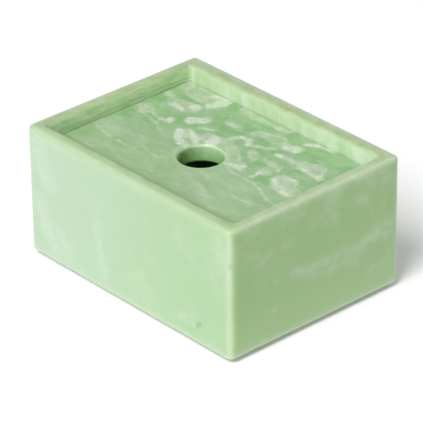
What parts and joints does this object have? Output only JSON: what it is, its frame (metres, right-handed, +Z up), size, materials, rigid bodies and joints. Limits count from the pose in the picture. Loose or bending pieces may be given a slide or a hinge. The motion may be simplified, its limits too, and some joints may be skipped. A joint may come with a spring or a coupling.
{
  "type": "resin storage box with drop-in lid",
  "caption": "Rectangular cast resin box with thick marbled walls, four hidden pads, and a drop-in lid plate that sits below the rim and lifts out by a finger hole.",
  "frame": {"origin": "under the middle of the box, on the surface that its pads rest on", "axes": "+X along the length, +Y along the width, +Z up out of the box, the way the lid lifts"},
  "size_m": [0.15, 0.1124, 0.0731],
  "materials": {
    "marbled_resin_body": "satin-polished cast resin, pale green with faint white clouds",
    "marbled_resin_lid": "polished cast resin, green with strong white marbling",
    "rubber_pad_front_left": "plain matt black rubber",
    "rubber_pad_front_right": "plain matt black rubber",
    "rubber_pad_back_left": "plain matt black rubber",
    "rubber_pad_back_right": "plain matt black rubber"
  },
  "bodies": {
    "box": {"box_body": "marbled_resin_body", "pad_front_left": "rubber_pad_front_left", "pad_front_right": "rubber_pad_front_right", "pad_back_left": "rubber_pad_back_left", "pad_back_right": "rubber_pad_back_right"},
    "lid": {"lid": "marbled_resin_lid"}
  },
  "joints": [
    {"name": "lid_lift", "type": "slide", "parent": "box", "child": "lid", "axis": [0, 0, 1], "range_m": [0, 0.06]}
  ]
}
